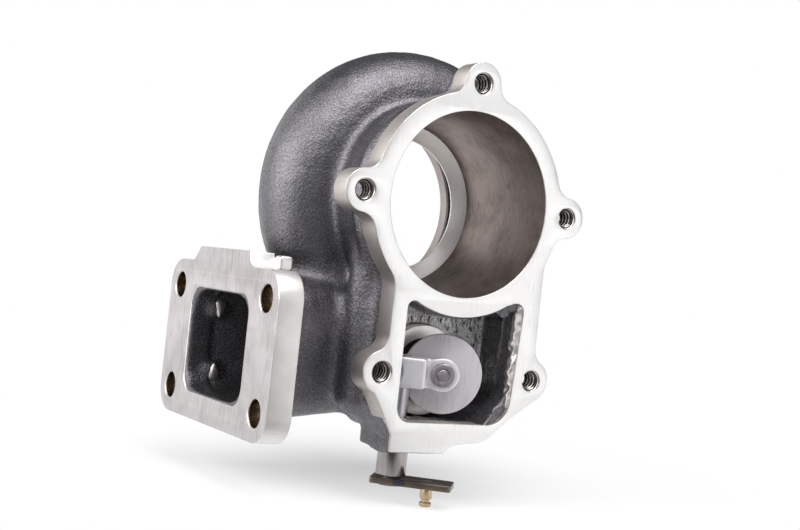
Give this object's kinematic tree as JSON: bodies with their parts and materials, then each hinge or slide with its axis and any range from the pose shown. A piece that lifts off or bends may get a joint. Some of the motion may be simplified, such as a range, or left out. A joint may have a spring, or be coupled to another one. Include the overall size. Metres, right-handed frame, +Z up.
{
  "type": "turbine housing",
  "caption": "Cast turbine housing with a spiral scroll, inlet and outlet flanges and an internal wastegate valve worked by an outside lever.",
  "frame": {"origin": "where the turbine axis meets the machined outlet face", "axes": "-Y out of the outlet along the turbine axis, +Z up from the wastegate lever to the scroll's top, -X out of the inlet flange"},
  "size_m": [0.1482, 0.1186, 0.1842],
  "materials": {
    "cast_iron": "as cast, sand grain",
    "machined_iron": "face milled",
    "ground_iron": "ground",
    "bored_iron": "bored, satin",
    "polished_steel": "ground bright",
    "shaft_steel": "satin",
    "cast_steel": "investment cast, matt",
    "valve_steel": "turned, blasted",
    "heat_tinted_steel": "heat tinted brown",
    "weld_metal": "weld bead",
    "plated_pin": "yellow plated"
  },
  "bodies": {
    "housing": {"outlet_flange": "machined_iron", "discharge_duct": "bored_iron", "wastegate_chamber": "cast_iron", "valve_seat": "machined_iron", "scroll_casing": "cast_iron", "inlet_flange": "ground_iron", "bearing_flange": "machined_iron", "shaft_bush": "polished_steel"},
    "wastegate_lever": {"wastegate_shaft": "shaft_steel", "swing_arm": "cast_steel", "crank_lever": "heat_tinted_steel", "lever_weld": "weld_metal", "rod_pin": "plated_pin"},
    "valve": {"valve_disc": "valve_steel", "stem_washer": "valve_steel"}
  },
  "joints": [
    {"name": "arm_swing", "type": "hinge", "parent": "housing", "child": "wastegate_lever", "pos_m": [-0.0151, 0.014, -0.0677], "axis": [0, 0, -1], "range_deg": [-30, 8]},
    {"name": "valve_spin", "type": "hinge", "parent": "wastegate_lever", "child": "valve", "pos_m": [-0.0009, 0.0058, -0.0677], "axis": [-0.5, -0.866, 0], "continuous": true}
  ]
}
